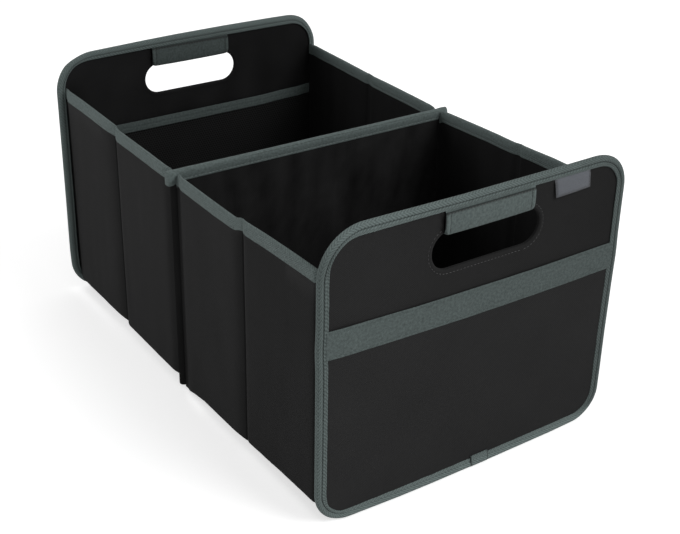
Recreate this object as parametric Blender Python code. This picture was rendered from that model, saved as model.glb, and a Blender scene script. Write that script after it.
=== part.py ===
"""Folding storage box with two open cells: two stiff end panels, a middle divider and inward folding walls.

World frame: X across the width, Y along the length, Z up, origin under the middle of the box.
The front end panel is at -Y. All sizes below are in millimetres and become metres when a mesh is made.
"""
import math

import bmesh
import bpy
from mathutils import Vector
from mathutils.geometry import tessellate_polygon

MM = 0.001

# Overall size
LENGTH = 500.0
WIDTH = 320.0
HEIGHT = 275.0

# Fabric, tape and board
FABRIC = 0.5
TAPE = 0.8
WALL_TAPE = 0.6
GAP = 0.3
PANEL_BOARD = 2.4
WALL_BOARD = 2.0
DIVIDER_BOARD = 4.4
FLOOR_BOARD = 2.0

# End panels
TOP_RADIUS = 40.0
FOOT_RADIUS = 30.0
TAPE_FACE = 11.0
EDGE_INSET = TAPE + GAP
HOLE_OFFSET = 6.0
HOLE_WIDTH = 114.0
HOLE_LOW = 212.0
HOLE_HIGH = 245.0
GRIP_WIDTH = 95.6
GRIP_LOW = 243.4
GRIP_HIGH = 263.7
COVER_NEAR = 3.6
COVER_FAR = 23.7
POCKET_TOP = 184.5
POCKET_HEM = 26.0
TAG_FROM_EDGE = 41.3
TAG_WIDTH = 40.4
TAG_LOW = 246.7
TAG_HIGH = 268.0
MESH_LOW = 12.0
MESH_TOP = 188.0
MESH_HEM = 11.5

# Walls
WALL_INSET = 4.6
HINGE_CLEAR = 0.3
MID_LOW = 13.2
MID_TOP = 234.6
END_LOW = 17.2
END_TOP = 238.4
TAPE_DROP = 12.2
SEAM = 0.15
WALL_GAP = 5.0

# Divider
DIVIDER_LOW = 11.0
DIVIDER_RADIUS = 12.0
CAP_INSET = 1.0
CAP_HEIGHT = 13.1
CAP_RISE = 0.2

# Floor
FLOOR_GAP = 1.5
FLOOR_SIDE = 1.0
SHEET_INSET = 5.0
LOOP_WIDTH = 25.0
LOOP_LENGTH = 56.0
LOOP_FROM_RIDGE = 5.4

SKINNED = 2 * (FABRIC + GAP)
PANEL_DEPTH = PANEL_BOARD + SKINNED + FABRIC + GAP + 2 * (TAPE + GAP)
WALL_OUTER = WIDTH / 2 - WALL_INSET
WALL_DEPTH = WALL_BOARD + SKINNED + 2 * (WALL_TAPE + GAP)
DIVIDER_HALF = (DIVIDER_BOARD + SKINNED) / 2
CAP_HALF = DIVIDER_HALF + TAPE + GAP
WALL_INNER = WALL_OUTER - WALL_DEPTH
WALL_SKIN = WALL_TAPE + GAP
HINGE_INNER = WALL_INNER - HINGE_CLEAR
HINGE_OUTER = WALL_OUTER + HINGE_CLEAR
CAP_REACH = WIDTH / 2 - CAP_INSET
CAP_TOP = MID_TOP + CAP_RISE
CAP_LOW = CAP_TOP - CAP_HEIGHT
DIVIDER_REACH = CAP_REACH - TAPE - GAP
DIVIDER_TOP = CAP_TOP - TAPE - GAP
FLOOR_LOW = MID_LOW
FLOOR_TOP = FLOOR_LOW + FLOOR_BOARD + SKINNED
FLOOR_HALF = HINGE_INNER - FLOOR_SIDE
SHEET_TOP = FLOOR_LOW - GAP
SHEET_LOW = SHEET_TOP - FABRIC
SHEET_HALF = WIDTH / 2 - SHEET_INSET
MESH_HALF = WALL_INNER + 0.4
TAG_RIGHT = WIDTH / 2 - TAG_FROM_EDGE
TAG_LEFT = TAG_RIGHT - TAG_WIDTH
PANEL_FACE = LENGTH / 2 - PANEL_DEPTH + TAPE + GAP
HINGE_MID = DIVIDER_HALF + WALL_GAP
HINGE_END = PANEL_FACE - WALL_GAP
CREASE = (DIVIDER_HALF + PANEL_FACE) / 2
HOLE_MID = (HOLE_LOW + HOLE_HIGH) / 2
HOLE_RADIUS = (HOLE_HIGH - HOLE_LOW) / 2

BINDING_GREY = (0.084, 0.105, 0.102)
FABRIC_BLACK = (0.022, 0.022, 0.022)
LINING_BLACK = (0.012, 0.012, 0.012)
BOARD_BROWN = (0.30, 0.21, 0.13)
TAG_GREY = (0.20, 0.19, 0.21)

for old in list(bpy.data.objects):
    bpy.data.objects.remove(old, do_unlink=True)


def material(name, colour, roughness):
    """One plain Principled material."""
    made = bpy.data.materials.new(name)
    made.use_nodes = True
    shader = made.node_tree.nodes["Principled BSDF"]
    shader.inputs["Base Color"].default_value = (*colour, 1.0)
    shader.inputs["Roughness"].default_value = roughness
    made.diffuse_color = (*colour, 1.0)
    return made


def add(name, vertices, faces, origin, colour, roughness=0.85):
    """Put a mesh into the scene as one named object whose origin is the given point."""
    base = Vector(origin)
    mesh = bpy.data.meshes.new(name)
    mesh.from_pydata([(Vector(v) - base) * MM for v in vertices], [], faces)
    mesh.validate()
    work = bmesh.new()
    work.from_mesh(mesh)
    bmesh.ops.remove_doubles(work, verts=work.verts, dist=0.00001)
    bmesh.ops.recalc_face_normals(work, faces=work.faces)
    work.to_mesh(mesh)
    work.free()
    made = bpy.data.objects.new(name, mesh)
    made.location = base * MM
    bpy.context.scene.collection.objects.link(made)
    if colour is not None:
        mesh.materials.append(material(name + "_material", colour, roughness))
    return made


def between(low, high):
    """Vertices and faces of the solid between two matching closed loops."""
    count = len(low)
    faces = [tuple(range(count)), tuple(range(2 * count - 1, count - 1, -1))]
    for i in range(count):
        j = (i + 1) % count
        faces.append((i, j, count + j, count + i))
    return list(low) + list(high), faces


def cup(outer_open, outer_shut, inner_shut, inner_open):
    """Vertices and faces of a hollow solid that is open at one end."""
    count = len(outer_open)
    vertices = list(outer_open) + list(outer_shut) + list(inner_shut) + list(inner_open)
    faces = [tuple(range(count, 2 * count)), tuple(range(2 * count, 3 * count))]
    for ring in (0, 2, 3):
        for i in range(count):
            j = (i + 1) % count
            a = ring * count
            b = ((ring + 1) % 4) * count
            faces.append((a + i, a + j, b + j, b + i))
    return vertices, faces


def box_loop(x0, x1, y0, y1, z):
    """A rectangle at one height."""
    return [(x0, y0, z), (x1, y0, z), (x1, y1, z), (x0, y1, z)]


def box(name, x0, x1, y0, y1, z0, z1, origin, colour):
    """A plain block."""
    vertices, faces = between(box_loop(x0, x1, y0, y1, z0), box_loop(x0, x1, y0, y1, z1))
    return add(name, vertices, faces, origin, colour)


def cutter(target, name, vertices, faces, operation="DIFFERENCE"):
    """A hidden helper that cuts from a solid or joins onto it."""
    tool = add(name, vertices, faces, (0, 0, 0), None)
    tool.hide_render = True
    tool.display_type = "WIRE"
    step = target.modifiers.new(name, "BOOLEAN")
    step.operation = operation
    step.solver = "EXACT"
    step.object = tool
    return tool


def box_cutter(target, name, x0, x1, y0, y1, z0, z1, operation="DIFFERENCE"):
    """A hidden block that cuts or joins."""
    vertices, faces = between(box_loop(x0, x1, y0, y1, z0), box_loop(x0, x1, y0, y1, z1))
    return cutter(target, name, vertices, faces, operation)


def arc(cx, cz, radius, start, steps):
    """Points of a quarter circle in the X and Z plane, starting at the given angle."""
    points = []
    for i in range(steps + 1):
        a = math.radians(start + 90.0 * i / steps)
        points.append((cx + radius * math.cos(a), cz + radius * math.sin(a)))
    return points


def panel_outline(inset, top=None):
    """The rounded outline of an end panel, moved inwards, and cut off at a height if one is given."""
    x = WIDTH / 2 - inset
    low = inset
    foot = FOOT_RADIUS - inset
    points = arc(x - foot, low + foot, foot, 270.0, 8)
    if top is None:
        high = HEIGHT - inset
        bend = TOP_RADIUS - inset
        points += arc(x - bend, high - bend, bend, 0.0, 10)
        points += arc(-x + bend, high - bend, bend, 90.0, 10)
    else:
        points += [(x, top), (-x, top)]
    points += arc(-x + foot, low + foot, foot, 180.0, 8)
    return points


def hole_outline(centre):
    """The hand hole: round ends, and square upper corners hidden by the grip."""
    half = HOLE_WIDTH / 2 - HOLE_RADIUS
    points = []
    for i in range(9):
        a = math.radians(-90.0 + 180.0 * i / 8)
        if i < 8:
            points.append((centre + half + HOLE_RADIUS * math.cos(a), HOLE_MID + HOLE_RADIUS * math.sin(a)))
    reach = GRIP_WIDTH / 2 + GAP
    points = [p for p in points if p[0] > centre + reach or p[1] < HOLE_MID]
    shoulder = HOLE_MID + math.sqrt(HOLE_RADIUS ** 2 - (reach - half) ** 2)
    points += [(centre + reach, shoulder), (centre + reach, HOLE_HIGH)]
    mirrored = [(2 * centre - x, z) for x, z in reversed(points)]
    return points + mirrored


def upright(points, y):
    """Points of the X and Z plane placed at one distance along the box."""
    return [(x, y, z) for x, z in points]


def plate(name, outline, hole, y0, y1, origin, colour):
    """A flat upright sheet with an optional hole."""
    loops = [outline] if hole is None else [outline, hole]
    flat = [p for loop in loops for p in loop]
    triangles = tessellate_polygon([[Vector((x, z, 0.0)) for x, z in loop] for loop in loops])
    count = len(flat)
    vertices = upright(flat, y0) + upright(flat, y1)
    faces = [tuple(t) for t in triangles]
    faces += [tuple(count + i for i in reversed(t)) for t in triangles]
    start = 0
    for loop in loops:
        size = len(loop)
        for i in range(size):
            j = (i + 1) % size
            faces.append((start + i, start + j, count + start + j, count + start + i))
        start += size
    return add(name, vertices, faces, origin, colour)


def net(name, half, z0, z1, y0, y1, columns, rows, strip, origin, colour):
    """A flat upright sheet with a regular grid of openings."""
    def marks(low, high, number):
        opening = (high - low - strip * (number + 1)) / number
        values = [low]
        for _ in range(number):
            values += [values[-1] + strip]
            values += [values[-1] + opening]
        return values + [high]

    xs = marks(-half, half, columns)
    zs = marks(z0, z1, rows)
    vertices = []
    index = {}
    for k, y in enumerate((y0, y1)):
        for i, x in enumerate(xs):
            for j, z in enumerate(zs):
                index[i, j, k] = len(vertices)
                vertices.append((x, y, z))
    solid = {(i, j) for i in range(len(xs) - 1) for j in range(len(zs) - 1) if not (i % 2 and j % 2)}
    faces = []
    for i, j in sorted(solid):
        ring = [(i, j), (i + 1, j), (i + 1, j + 1), (i, j + 1)]
        faces.append(tuple(index[a, b, 0] for a, b in ring))
        faces.append(tuple(index[a, b, 1] for a, b in reversed(ring)))
        sides = {(i, j - 1): (0, 1), (i + 1, j): (1, 2), (i, j + 1): (2, 3), (i - 1, j): (3, 0)}
        for beside, (a, b) in sides.items():
            if beside not in solid:
                p, q = ring[a], ring[b]
                faces.append((index[(*p, 0)], index[(*q, 0)], index[(*q, 1)], index[(*p, 1)]))
    return add(name, vertices, faces, origin, colour)


def wall_board(name, side, end, near, far, low, high, origin):
    """One folding wall board: a stiff core, an open sleeve of fabric and a tape along its top."""
    y0, y1 = sorted((end * (near + SEAM), end * (far - SEAM)))

    def sides(inset):
        a = side * (WALL_INNER + WALL_SKIN + inset)
        b = side * (WALL_OUTER - WALL_SKIN - inset)
        return min(a, b), max(a, b)

    core = sides(FABRIC + GAP)
    inset = FABRIC + GAP
    box(name + "_core", core[0], core[1], y0 + inset, y1 - inset, low + inset,
        high - WALL_SKIN - inset, origin, BOARD_BROWN)
    outer = sides(0.0)
    inner = sides(FABRIC)
    top = high - WALL_SKIN
    vertices, faces = cup(
        box_loop(*outer, y0, y1, top),
        box_loop(*outer, y0, y1, low),
        box_loop(*inner, y0 + FABRIC, y1 - FABRIC, low + FABRIC),
        box_loop(*inner, y0 + FABRIC, y1 - FABRIC, top),
    )
    add(name + "_sleeve", vertices, faces, origin, FABRIC_BLACK)
    a, b = side * WALL_INNER, side * WALL_OUTER
    t = side * WALL_TAPE
    edge = high - TAPE_DROP
    under = high - WALL_TAPE
    section = [
        (a, edge), (a, high), (b, high), (b, edge),
        (b - t, edge), (b - t, under), (a + t, under), (a + t, edge),
    ]
    vertices, faces = between(upright(section, y0), upright(section, y1))
    add(name + "_binding", vertices, faces, origin, BINDING_GREY)


def floor_board(name, end, near, far, origin):
    """One base board with slanted sides: a stiff core in a sleeve that is open at its hinge."""
    start = end * near
    step = 1.0 if far > near else -1.0
    reach = abs(far - near)

    def ring(distance, inset, slant):
        half = FLOOR_HALF - distance - slant
        y = start + end * step * distance
        return [
            (-half, y, FLOOR_LOW + inset), (half, y, FLOOR_LOW + inset),
            (half, y, FLOOR_TOP - inset), (-half, y, FLOOR_TOP - inset),
        ]

    root2 = math.sqrt(2.0)
    vertices, faces = cup(
        ring(0.0, 0.0, 0.0), ring(reach, 0.0, 0.0),
        ring(reach - FABRIC, FABRIC, FABRIC * root2), ring(0.0, FABRIC, FABRIC * root2),
    )
    add(name + "_sleeve", vertices, faces, origin, LINING_BLACK)
    inset = FABRIC + GAP
    vertices, faces = between(ring(inset, inset, inset * root2), ring(reach - inset, inset, inset * root2))
    add(name + "_core", vertices, faces, origin, BOARD_BROWN)


def end_panel(prefix, end, origin):
    """One end panel: board, two skins, tape round the rim, hand hole with grip, and its pockets."""
    outline = panel_outline(EDGE_INSET)
    centre = -end * HOLE_OFFSET
    hole = hole_outline(centre)
    face = LENGTH / 2

    def span(outer, thick):
        return sorted((end * outer, end * (outer - thick)))

    pocket = end < 0
    skin_out = face - TAPE - GAP
    if pocket:
        plate(prefix + "_pocket", panel_outline(EDGE_INSET, POCKET_TOP), None,
              *span(skin_out, FABRIC), origin, FABRIC_BLACK)
        box(prefix + "_pocket_hem", -(WIDTH / 2 - TAPE_FACE - GAP), WIDTH / 2 - TAPE_FACE - GAP,
            *span(face, TAPE), POCKET_TOP - POCKET_HEM, POCKET_TOP, origin, BINDING_GREY)
        box(prefix + "_tag", TAG_LEFT, TAG_RIGHT, *span(skin_out, FABRIC), TAG_LOW, TAG_HIGH, origin, TAG_GREY)
        skin_out -= FABRIC + GAP
    plate(prefix + "_outer_skin", outline, hole, *span(skin_out, FABRIC), origin, FABRIC_BLACK)
    board_out = skin_out - FABRIC - GAP
    plate(prefix + "_core", outline, hole, *span(board_out, PANEL_BOARD), origin, BOARD_BROWN)
    skin_in = board_out - PANEL_BOARD - GAP
    inner = plate(prefix + "_inner_skin", outline, hole, *span(skin_in, FABRIC), origin, LINING_BLACK)
    for side in (-1, 1):
        xs = sorted((side * (WALL_INNER + WALL_SKIN), side * (WALL_OUTER - WALL_SKIN)))
        ys = sorted((end * (HINGE_END + SEAM), end * (skin_in - 0.2)))
        label = prefix + ("_seam_left" if side < 0 else "_seam_right")
        box_cutter(inner, label, *xs, *ys, END_LOW, END_TOP, "UNION")
    if not pocket:
        net("mesh_pocket", MESH_HALF, MESH_LOW, MESH_TOP, *span(skin_in - FABRIC - GAP, FABRIC),
            12, 7, 4.0, origin, LINING_BLACK)
        box("mesh_hem", -MESH_HALF, MESH_HALF, *span(face - PANEL_DEPTH + TAPE, TAPE),
            MESH_TOP - MESH_HEM, MESH_TOP, origin, BINDING_GREY)

    rim = panel_outline(0.0)
    vertices, faces = between(upright(rim, end * (face - PANEL_DEPTH)), upright(rim, end * face))
    tape = add(prefix + "_binding", vertices, faces, origin, BINDING_GREY)
    channel = panel_outline(TAPE)
    ys = (end * (face - PANEL_DEPTH + TAPE), end * (face - TAPE))
    cutter(tape, prefix + "_channel_cut", *between(upright(channel, ys[0]), upright(channel, ys[1])))
    window = panel_outline(TAPE_FACE)
    ys = (end * (face - PANEL_DEPTH - 2.0), end * (face + 2.0))
    cutter(tape, prefix + "_window_cut", *between(upright(window, ys[0]), upright(window, ys[1])))
    ys = sorted((end * (face - PANEL_DEPTH - 1.0), end * (face - PANEL_DEPTH + TAPE + 0.4)))
    box_cutter(tape, prefix + "_wall_cut", -HINGE_OUTER, HINGE_OUTER, *ys,
               SHEET_LOW - GAP, END_TOP + 0.6)
    xs = sorted((-end * COVER_NEAR, -end * COVER_FAR))
    ys = sorted((end * (face - PANEL_DEPTH - 1.0), end * (face + 1.0)))
    box_cutter(tape, prefix + "_joint_cut", xs[0] - GAP, xs[1] + GAP, *ys, -2.0, TAPE_FACE + 2.0)

    near, far = span(face, PANEL_DEPTH)
    section = [
        (near, TAPE_FACE), (near, 0.0), (far, 0.0), (far, TAPE_FACE),
        (far - TAPE, TAPE_FACE), (far - TAPE, TAPE), (near + TAPE, TAPE), (near + TAPE, TAPE_FACE),
    ]
    low = [(xs[0], y, z) for y, z in section]
    high = [(xs[1], y, z) for y, z in section]
    add(prefix + "_cover", *between(low, high), origin, BINDING_GREY)

    out_leg = face - (0.1 if pocket else 0.0)
    out_in = face - (1.6 if pocket else 0.8)
    in_out = face - PANEL_DEPTH + (0.8 if pocket else 1.6)
    in_leg = face - PANEL_DEPTH + (0.0 if pocket else 0.1)
    web = GRIP_LOW + 1.3
    section = [
        (out_leg, GRIP_HIGH), (out_leg, GRIP_LOW), (in_leg, GRIP_LOW), (in_leg, GRIP_HIGH),
        (in_out, GRIP_HIGH), (in_out, web), (out_in, web), (out_in, GRIP_HIGH),
    ]
    low = [(centre - GRIP_WIDTH / 2, end * y, z) for y, z in section]
    high = [(centre + GRIP_WIDTH / 2, end * y, z) for y, z in section]
    add(prefix + "_grip", *between(low, high), origin, BINDING_GREY)


def divider():
    """The middle divider: board, sleeve with a seam strip for each wall, and the capping tape."""
    def outline(inset, top):
        x = DIVIDER_REACH - inset
        radius = DIVIDER_RADIUS - inset
        low = DIVIDER_LOW + inset
        points = arc(x - radius, low + radius, radius, 270.0, 6)
        points += [(x, top), (-x, top)]
        return points + arc(-x + radius, low + radius, radius, 180.0, 6)

    origin = (0, 0, 0)
    inset = FABRIC + GAP
    flat = outline(inset, DIVIDER_TOP - inset)
    y = DIVIDER_HALF - inset
    add("divider_core", *between(upright(flat, -y), upright(flat, y)), origin, BOARD_BROWN)
    flat = outline(0.0, DIVIDER_TOP)
    y = DIVIDER_HALF
    sleeve = add("divider_sleeve", *between(upright(flat, -y), upright(flat, y)), origin, FABRIC_BLACK)
    flat = outline(FABRIC, DIVIDER_TOP + 5.0)
    y = DIVIDER_HALF - FABRIC
    cutter(sleeve, "divider_room", *between(upright(flat, -y), upright(flat, y)))
    for end, where in ((-1, "front"), (1, "back")):
        for side, hand in ((-1, "left"), (1, "right")):
            xs = sorted((side * (WALL_INNER + WALL_SKIN), side * (WALL_OUTER - WALL_SKIN)))
            near = sorted((end * (DIVIDER_HALF - 0.2), end * (HINGE_MID - SEAM)))
            far = sorted((end * (CAP_HALF + GAP), end * (HINGE_MID - SEAM)))
            corners = [(near[0], MID_LOW), (near[1], MID_LOW)]
            if end < 0:
                corners += [(near[1], CAP_LOW - GAP), (far[1], CAP_LOW - GAP), (far[1], MID_TOP), (far[0], MID_TOP)]
            else:
                corners += [(far[1], MID_TOP), (far[0], MID_TOP), (far[0], CAP_LOW - GAP), (near[0], CAP_LOW - GAP)]
            low = [(xs[0], y, z) for y, z in corners]
            high = [(xs[1], y, z) for y, z in corners]
            cutter(sleeve, "divider_seam_" + where + "_" + hand, *between(low, high), "UNION")

    def ring(reach, half, z):
        return box_loop(-reach, reach, -half, half, z)

    t = TAPE
    vertices, faces = cup(
        ring(CAP_REACH, CAP_HALF, CAP_LOW), ring(CAP_REACH, CAP_HALF, CAP_TOP),
        ring(CAP_REACH - t, CAP_HALF - t, CAP_TOP - t), ring(CAP_REACH - t, CAP_HALF - t, CAP_LOW),
    )
    add("divider_binding", vertices, faces, origin, BINDING_GREY)


def cell(prefix, end):
    """Everything that belongs to one cell, in its open pose."""
    for side, hand in ((-1, "left"), (1, "right")):
        name = "wall_" + prefix + "_" + hand
        wall_board(name + "_inner", side, end, HINGE_MID, CREASE, MID_LOW, MID_TOP,
                   (side * HINGE_INNER, end * HINGE_MID, 0))
        wall_board(name + "_outer", side, end, CREASE, HINGE_END, END_LOW, END_TOP,
                   (side * HINGE_OUTER, end * CREASE, 0))
    mid = DIVIDER_HALF + FLOOR_GAP
    far = PANEL_FACE - FLOOR_GAP
    floor_board("floor_" + prefix + "_mid", end, mid, CREASE - SEAM, (0, end * mid, FLOOR_TOP))
    floor_board("floor_" + prefix + "_end", end, far, CREASE + SEAM, (0, end * far, FLOOR_TOP))
    ridge = CREASE - LOOP_FROM_RIDGE
    ys = sorted((end * (ridge - LOOP_LENGTH), end * ridge))
    z = FLOOR_TOP + GAP
    section = [(ys[0], z), (ys[1], z), (ys[1], z + 1.3), (ys[0], z + 1.3)]
    slit = [(ys[0] + 0.5, z + 0.5), (ys[1] - 0.5, z + 0.5), (ys[1] - 0.5, z + 0.8), (ys[0] + 0.5, z + 0.8)]
    vertices = [(x, y, h) for x in (-LOOP_WIDTH / 2, LOOP_WIDTH / 2) for loop in (section, slit) for y, h in loop]
    faces = []
    for i in range(4):
        j = (i + 1) % 4
        faces += [(i, j, 4 + j, 4 + i), (8 + i, 8 + j, 12 + j, 12 + i), (i, j, 8 + j, 8 + i), (4 + i, 4 + j, 12 + j, 12 + i)]
    add("pull_loop_" + prefix, vertices, faces, (0, end * mid, FLOOR_TOP), BINDING_GREY)
    ys = sorted((end * (DIVIDER_HALF + GAP), end * (PANEL_FACE - GAP)))
    box("bottom_" + prefix, -SHEET_HALF, SHEET_HALF, *ys, SHEET_LOW, SHEET_TOP, (0, 0, 0), FABRIC_BLACK)
    end_panel(prefix, end, (-HINGE_INNER, end * HINGE_END, 0))


divider()
cell("front", -1)
cell("back", 1)
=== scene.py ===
"""Folding storage box in black cloth with slate grey tape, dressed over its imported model."""
import math

import bmesh
import bpy
from mathutils import Matrix, Vector, noise


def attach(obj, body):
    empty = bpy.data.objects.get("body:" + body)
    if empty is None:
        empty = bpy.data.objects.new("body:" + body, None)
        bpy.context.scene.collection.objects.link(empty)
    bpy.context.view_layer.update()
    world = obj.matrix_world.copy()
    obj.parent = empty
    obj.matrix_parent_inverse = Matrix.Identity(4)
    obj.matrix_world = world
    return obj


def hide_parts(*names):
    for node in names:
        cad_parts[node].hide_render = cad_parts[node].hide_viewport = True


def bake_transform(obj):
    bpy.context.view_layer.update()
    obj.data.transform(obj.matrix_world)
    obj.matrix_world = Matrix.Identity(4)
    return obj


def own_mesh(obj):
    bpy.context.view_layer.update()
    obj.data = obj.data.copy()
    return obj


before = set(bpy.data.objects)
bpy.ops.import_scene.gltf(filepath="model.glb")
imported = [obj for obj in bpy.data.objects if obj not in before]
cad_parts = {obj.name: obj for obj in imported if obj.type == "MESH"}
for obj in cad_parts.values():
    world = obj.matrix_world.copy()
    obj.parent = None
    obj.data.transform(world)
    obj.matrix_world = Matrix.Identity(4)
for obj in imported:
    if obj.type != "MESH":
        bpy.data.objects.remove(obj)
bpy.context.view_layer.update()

MM = 0.001

# Sizes in millimetres, as in the part's source
HALF_WIDTH = 160.0
HEIGHT = 275.0
FACE = 250.0
DEPTH = 7.0
TOP_RADIUS = 40.0
FOOT_RADIUS = 30.0
GRIP_HIGH = 264.6
CREASE = 123.55
WALL_START = 3.4
WALL_STOP = 243.9
POCKET_TOP = 184.5
POCKET_HEM = 26.0
MESH_TOP = 188.0
MESH_HEM = 11.5
MESH_HALF = 150.2
HOLE_SHARE = 0.80
NET_FACE = FACE - 6.0
DIVIDER_HALF = 3.0
DIVIDER_REACH = 156.9
DIVIDER_LOW = 5.5
CAP_TOP = 234.8
CAP_LOW = 223.8
BOARD_HALF = 148.7
BOTTOM_LEVEL = 10.8

TAPE = (0.0900, 0.1125, 0.1092)
BLACK = (0.0164, 0.0164, 0.0166)
# The lining's colour is darker than the outer cloth's: painted shade for faces inside the box.
LINING_SHADED = (0.0068, 0.0068, 0.0070)
TAG = (0.068, 0.075, 0.088)


def ease(a, b, t):
    """A smooth step from 0 at a to 1 at b."""
    t = min(1.0, max(0.0, (t - a) / (b - a)))
    return t * t * (3.0 - 2.0 * t)


def mix(a, b, t):
    return a + (b - a) * t


def curve(t, *pairs):
    """A line through places and values, level beyond its ends."""
    if t <= pairs[0][0]:
        return pairs[0][1]
    for (a, u), (b, v) in zip(pairs, pairs[1:]):
        if t < b:
            return mix(u, v, (t - a) / (b - a))
    return pairs[-1][1]


def clamp(value, low, high):
    return max(low, min(high, value))


def rounded(gone, reach, least=0.0):
    """How full a sheet is this far from its edge, rounded off over a reach."""
    return math.sqrt(max(least, 1.0 - max(0.0, 1.0 - gone / reach) ** 2))


def girth(loop):
    """Distances along a closed line of places, back to its start."""
    runs = [0.0]
    for p, q in zip(loop, loop[1:] + loop[:1]):
        runs.append(runs[-1] + math.hypot(q[0] - p[0], q[1] - p[1]))
    return runs


def banded(low, rising, high, falling):
    """A band's section: how far out it lies above its low edge, then below its high edge."""
    return [(out, low + up) for out, up in rising] + [(out, high - down) for out, down in falling]


def ripple(x, y, seed, size):
    """Smooth unevenness from about -1 to 1, the same on every run."""
    return noise.noise(Vector((x / size, y / size, 7.31 * seed))) * 1.6


class Piece:
    """The faces of one piece in millimetres, each corner with its place on the flat cloth, in millimetres too."""

    def __init__(self):
        self.points, self.faces, self.maps, self.slots = [], [], [], []
        # tone is a brightness factor per corner, mostly painted light and shade; shades darkens single corners with
        # painted shade.
        self.tone = lambda x, y, z: 1.0
        self.shades = {}

    def lattice(self, rows, place, slot=0, around=False, along=False):
        """Rows of points joined by faces. around closes each row, along joins the last row to the first."""
        first, tall, wide = len(self.points), len(rows), len(rows[0])
        for row in rows:
            self.points.extend(row)
        for i in range(tall if along else tall - 1):
            for j in range(wide if around else wide - 1):
                corners = ((i, j), (i, j + 1), (i + 1, j + 1), (i + 1, j))
                self.faces.append([first + (p % tall) * wide + q % wide for p, q in corners])
                self.maps.append([place(p, q) for p, q in corners])
                self.slots.append(slot)
        return first

    def face(self, corners, places, slot=0):
        self.faces.append(list(corners))
        self.maps.append(list(places))
        self.slots.append(slot)

    def ends(self, first, rows, places, slot=0):
        """Flat faces over both ends of a lattice that closes around."""
        wide = len(rows[0])
        for base in (first, first + (len(rows) - 1) * wide):
            self.face(range(base, base + wide), places, slot)

    def tube(self, rows, stations, section):
        """One closed section carried along stations, with flat ends."""
        across = girth(section)
        first = self.lattice(rows, lambda i, j: (stations[i], across[j]), 0, around=True)
        self.ends(first, rows, section)

    def stitch(self, a, b, out, wide, high, slot):
        """One stitch: a low ridge of thread from a to b, standing out of the cloth."""
        a, b, out = Vector(a), Vector(b), Vector(out).normalized()
        run = b - a
        side = run.cross(out).normalized() * (wide / 2.0)
        first = len(self.points)
        third = run * 0.28
        self.points += [tuple(p) for p in (
            a, a + third + side, a + third + out * high, a + third - side,
            b - third + side, b - third + out * high, b - third - side, b)]
        for f in ((0, 1, 2), (0, 2, 3), (1, 4, 5, 2), (2, 5, 6, 3), (4, 7, 5), (5, 7, 6), (0, 3, 6, 7, 4, 1)):
            self.face([first + k for k in f], [(k * 0.4, 0.0) for k in f], slot)

    def seam(self, line, out, slot, length, gap, wide, high):
        """A row of stitches along a line of points, standing out one way."""
        spans, total = [0.0], 0.0
        for p, q in zip(line, line[1:]):
            total += (Vector(q) - Vector(p)).length
            spans.append(total)

        def at(s):
            k = 0
            while k < len(spans) - 2 and spans[k + 1] < s:
                k += 1
            t = (s - spans[k]) / max(spans[k + 1] - spans[k], 1e-6)
            return Vector(line[k]).lerp(Vector(line[k + 1]), t)

        s = gap
        while s + length < total:
            self.stitch(at(s), at(s + length), out, wide, high, slot)
            s += length + gap

    def column_seam(self, rows, k, out, off, slot, length, gap, wide, high):
        """Stitches along one column of a lattice's points, a little off it."""
        line = [tuple(c + off * o for c, o in zip(row[k], out)) for row in rows]
        self.seam(line, out, slot, length, gap, wide, high)

    def make(self, name, materials, solid=True, sharp=50.0):
        mesh = bpy.data.meshes.new(name)
        mesh.from_pydata([(x * MM, y * MM, z * MM) for x, y, z in self.points], [], self.faces)
        flat = mesh.uv_layers.new(name="cloth")
        corner = 0
        for places in self.maps:
            for u, v in places:
                flat.data[corner].uv = (u, v)
                corner += 1
        mesh.polygons.foreach_set("material_index", self.slots)
        shade = mesh.attributes.new("tone", "FLOAT", "POINT")
        shade.data.foreach_set("value", [self.tone(*p) * self.shades.get(k, 1.0) for k, p in enumerate(self.points)])
        work = bmesh.new()
        work.from_mesh(mesh)
        if solid:
            bmesh.ops.recalc_face_normals(work, faces=work.faces)
        work.to_mesh(mesh)
        work.free()
        mesh.polygons.foreach_set("use_smooth", [True] * len(mesh.polygons))
        mesh.set_sharp_from_angle(angle=math.radians(sharp))
        for m in materials:
            mesh.materials.append(m)
        made = bpy.data.objects.new(name, mesh)
        bpy.context.scene.collection.objects.link(made)
        return made


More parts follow.
